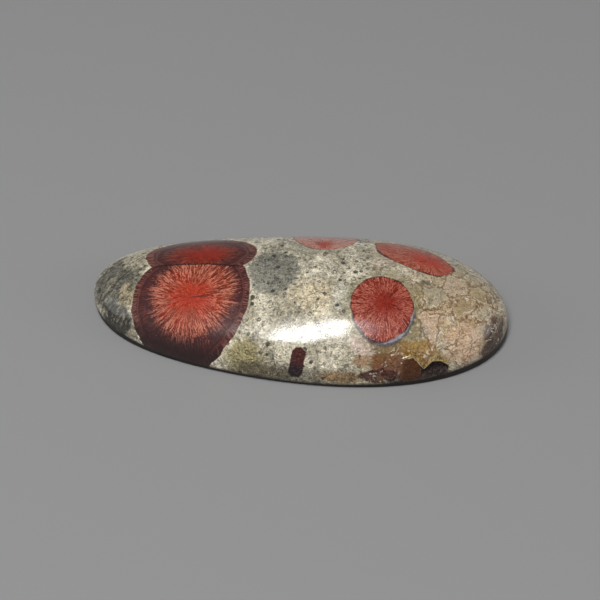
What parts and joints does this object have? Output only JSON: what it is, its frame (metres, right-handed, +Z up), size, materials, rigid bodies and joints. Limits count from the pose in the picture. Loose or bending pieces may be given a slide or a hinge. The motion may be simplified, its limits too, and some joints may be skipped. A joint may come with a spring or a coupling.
{
  "type": "peanut obsidian cabochon",
  "caption": "Polished free-form obsidian cabochon with round spherulites: egg-shaped plan, smooth low dome, thin edge, small bevel and a flat back to rest on.",
  "frame": {"origin": "the middle of the flat back, on the surface that the stone lies on", "axes": "+Z up out of the dome, +X along the stone towards its wide end, -Y towards the side that the picture shows"},
  "size_m": [0.044, 0.0198, 0.0072],
  "materials": {
    "stone": "polished"
  },
  "bodies": {
    "root": {"cabochon": "stone"}
  },
  "joints": []
}
